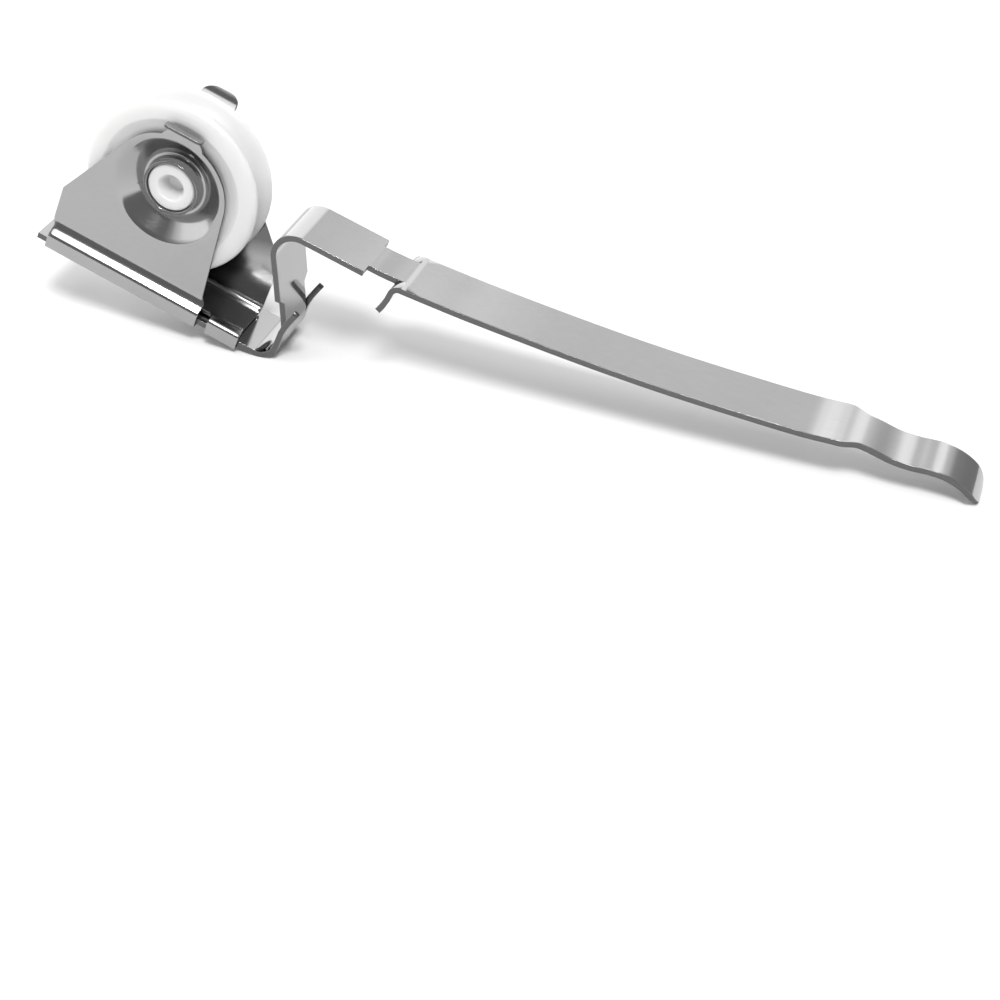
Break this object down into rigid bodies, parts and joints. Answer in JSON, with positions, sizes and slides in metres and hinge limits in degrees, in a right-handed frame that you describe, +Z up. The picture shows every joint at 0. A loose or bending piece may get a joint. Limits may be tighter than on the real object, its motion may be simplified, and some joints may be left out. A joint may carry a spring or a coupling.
{
  "type": "sliding door roller",
  "caption": "Grooved nylon wheel between two pressed steel side plates on the foot of a bent leaf-spring arm; carries a sliding screen door on its track.",
  "frame": {"origin": "middle of the overall box on the table the roller lies on, resting on the spring's heel bend and the arm's tip", "axes": "+X from the wheel end to the arm's tip, +Y along the wheel's axis away from the long-beaded side plate, +Z up from the table"},
  "size_m": [0.1678, 0.0154, 0.0438],
  "materials": {
    "nylon": "moulded natural white nylon, satin",
    "plate_steel": "bright cold-rolled sheet, pressed and left bare",
    "spring_steel": "bright stainless spring strip with sheared edges"
  },
  "bodies": {
    "leaf_arm": {"leaf_spring_arm": "spring_steel"},
    "housing": {"front_side_plate": "plate_steel", "rear_side_plate": "plate_steel", "leaf_spring_foot": "spring_steel"},
    "wheel": {"track_wheel": "nylon"}
  },
  "joints": [
    {"name": "spring_flex", "type": "hinge", "parent": "leaf_arm", "child": "housing", "pos_m": [-0.03792, -0.00079, 0.00872], "axis": [0, -1, 0], "range_deg": [-3, 12], "stiffness_Nm_per_rad": 2},
    {"name": "wheel_spin", "type": "hinge", "parent": "housing", "child": "wheel", "pos_m": [-0.05889, -0.00079, 0.02799], "axis": [0, 1, 0], "continuous": true}
  ]
}
